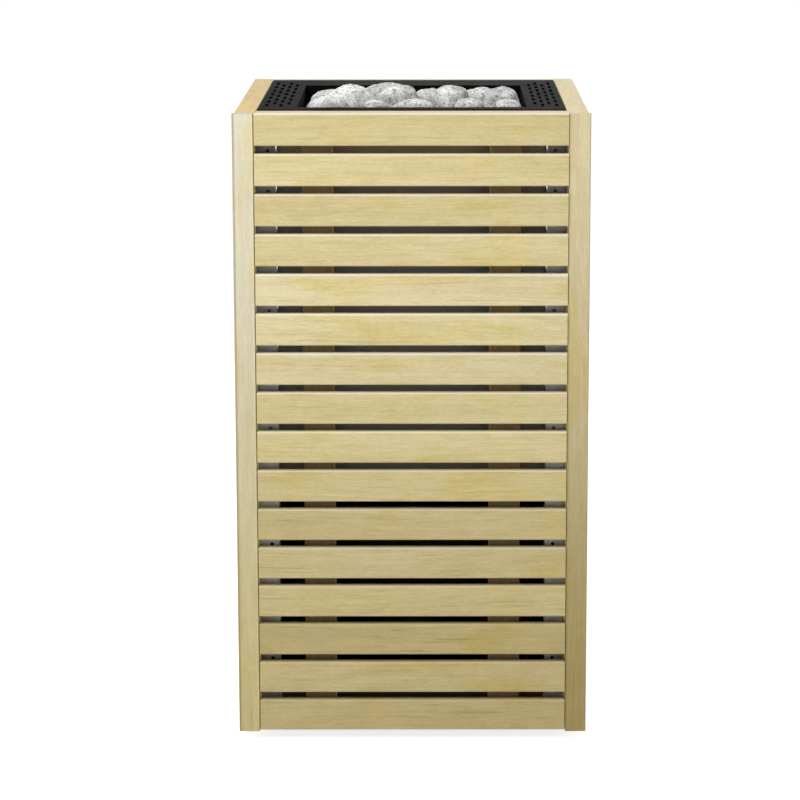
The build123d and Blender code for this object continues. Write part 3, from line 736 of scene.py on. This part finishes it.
# %% Smaller stones wedged between the large ones
# For each: its middle across and in depth, its top over the wood, its length, width and turn.
WEDGES = (
    (-0.004, -0.096, 0.004, 0.058, 0.056, 20),
    (-0.118, -0.048, 0.003, 0.058, 0.046, -8),
    (-0.069, -0.044, 0.000, 0.042, 0.044, 40),
    (0.014, -0.054, -0.001, 0.036, 0.052, 10),
    (0.063, -0.008, -0.002, 0.040, 0.038, 0),
    (0.087, -0.080, 0.001, 0.032, 0.052, -6),
    (0.132, -0.018, 0.000, 0.036, 0.050, 8),
    (0.131, 0.034, -0.006, 0.038, 0.050, -12),
    (0.135, 0.086, -0.013, 0.028, 0.050, 4),
    (0.060, 0.068, -0.009, 0.036, 0.046, 18),
    (-0.008, 0.046, -0.005, 0.036, 0.058, -10),
    (-0.080, 0.034, -0.005, 0.040, 0.050, 15),
    (-0.080, 0.096, -0.013, 0.036, 0.046, 0),
    (-0.116, 0.122, -0.016, 0.058, 0.028, 4),
    (0.067, 0.116, -0.014, 0.036, 0.038, 30),
    (-0.009, 0.110, -0.011, 0.032, 0.046, -5),
    (0.041, -0.138, -0.002, 0.034, 0.046, 12),
    (-0.079, -0.138, -0.004, 0.036, 0.036, 0),
    (0.104, -0.114, -0.001, 0.036, 0.030, 22),
    (-0.031, -0.124, 0.000, 0.036, 0.034, -15),
)
WEDGE_THICKNESS = 0.042
WEDGE_SHAKE = 0.0045  # how far the ball's corners are moved, in metres


def wedge(number, x, y, top, length, width, turn):
    """One small stone, from a coarse ball one metre across that is scaled to its size."""
    bpy.ops.mesh.primitive_ico_sphere_add(
        subdivisions=2,
        radius=0.5,
        location=(x, y, HEATER_TOP + top - WEDGE_THICKNESS / 2),
        rotation=(0.0, 0.0, math.radians(turn)),
        scale=(length, width, WEDGE_THICKNESS),
    )
    bpy.ops.object.transform_apply(location=True, rotation=True, scale=True)
    stone = bpy.context.active_object
    bpy.ops.object.mode_set(mode="EDIT")
    bpy.ops.mesh.select_all(action="SELECT")
    bpy.ops.transform.vertex_random(offset=WEDGE_SHAKE, seed=number)
    bpy.ops.object.mode_set(mode="OBJECT")
    rounded = stone.modifiers.new("rounded", "SUBSURF")
    rounded.levels = rounded.render_levels = 3
    displace(stone, "rough", COARSE, COARSE_RELIEF)
    apply_modifiers(stone)
    bpy.ops.object.select_all(action="DESELECT")
    return stone


wedged = one_piece("wedged_stones", [wedge(n, *entry) for n, entry in enumerate(WEDGES)])
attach(wedged, "heater")

# %% [markdown]
# ## Floor
# The heater stands on a white sweep. The floor is lit like everything else, so it takes the
# heater's shadow, and a little light of its own lifts it to white where no shadow falls, for the
# camera and for reflections only. That glow is off under the heater, where it would shine through
# the slots of the base tray. The floor has one side only, so that a look from below shows the tray.

# %% White sweep
PAPER = (0.72, 0.72, 0.72)
GLOW = 0.80
# How far inside the heater's outline the glow is off, and where it is whole again, in metres.
GLOW_SIDES, GLOW_ENDS = (0.12, 0.06), (0.14, 0.08)

bpy.ops.mesh.primitive_circle_add(vertices=96, radius=9.0, fill_type="NGON")
floor = bpy.context.active_object
floor.name = "floor"
bpy.ops.object.select_all(action="DESELECT")


def seen_directly(finish):
    """1 for a ray from the camera, off a shiny surface or through glass, and 0 for soft light."""
    camera_ray, glossy_ray, glass_ray = (
        finish.node("ShaderNodeLightPath", output=f"Is {kind} Ray")
        for kind in ("Camera", "Glossy", "Transmission")
    )
    return camera_ray.larger(glossy_ray).larger(glass_ray)


def well_inside(finish, number, edge, fade):
    """1 well inside the heater's outline along one axis, and 0 near its edge and beyond."""
    return 1.0 - finish.axis(number).size().between(edge - fade[0], edge - fade[1])


sweep = Finish("white_sweep")
under = well_inside(sweep, ACROSS, CAD_HIGH.x, GLOW_SIDES)
under = under * well_inside(sweep, THROUGH, CAD_HIGH.y, GLOW_ENDS)
strength = seen_directly(sweep) * (1.0 - under) * GLOW
paper = sweep.node("ShaderNodeBsdfDiffuse", {}, {"Color": PAPER})
glow = sweep.node("ShaderNodeEmission", {}, {"Color": WHITE, "Strength": strength})
both = sweep.node("ShaderNodeAddShader", {}, [paper, glow])
underside = sweep.node("ShaderNodeNewGeometry", output="Backfacing")
clear = sweep.node("ShaderNodeBsdfTransparent")
one_sided = sweep.node("ShaderNodeMixShader", {}, [underside, both, clear])
sweep.node("ShaderNodeOutputMaterial", {}, [one_sided])
floor.data.materials.append(sweep.block)
print("floor, metres:", [round(v, 1) for v in floor.dimensions])

# %% [markdown]
# ## World and lamps
# The world is white where it is seen, and lights the heater only softly. The key lamp hangs in
# front and above, close enough that the wood fades gently from the top slat to the lowest one. Two
# weaker lamps open up the sides, and a fourth lights the rear.

# %% World
SKY_SEEN, SKY_LIGHT = 1.0, 0.32

sky = Finish("studio", bpy.data.worlds)
light = sky.node("ShaderNodeBackground", {}, {"Color": WHITE, "Strength": SKY_LIGHT})
screen = sky.node("ShaderNodeBackground", {}, {"Color": WHITE, "Strength": SKY_SEEN})
mixed = sky.node("ShaderNodeMixShader", {}, [seen_directly(sky), light, screen])
sky.node("ShaderNodeOutputWorld", {}, [mixed])
bpy.context.scene.world = sky.block
bpy.context.scene.view_settings.view_transform = "Standard"
print("world", sky.block.name, "lights with a strength of", SKY_LIGHT)


# %% Lamps
def lamp(name, place, aim, size, power):
    """A rectangular lamp at a place, aimed at a point; power is in watts."""
    data = bpy.data.lights.new(name, "AREA")
    data.shape = "RECTANGLE"
    data.size, data.size_y = size
    data.energy = power
    made = bpy.data.objects.new(name, data)
    bpy.context.scene.collection.objects.link(made)
    made.location = place
    made.rotation_euler = (Vector(aim) - Vector(place)).to_track_quat("-Z", "Y").to_euler()
    print("lamp", name, "of", power, "W")


MIDDLE = (0.0, 0.0, 0.5)
lamp("key", (-0.8, -1.85, 2.45), (0.0, -0.25, 0.7), (1.3, 0.9), 57.0)
lamp("left_side", (-2.3, 0.3, 1.2), MIDDLE, (1.0, 1.0), 12.0)
lamp("right_side", (2.3, 0.3, 1.2), MIDDLE, (1.0, 1.0), 8.0)
lamp("rear", (0.3, 2.5, 1.3), MIDDLE, (1.4, 1.0), 12.0)
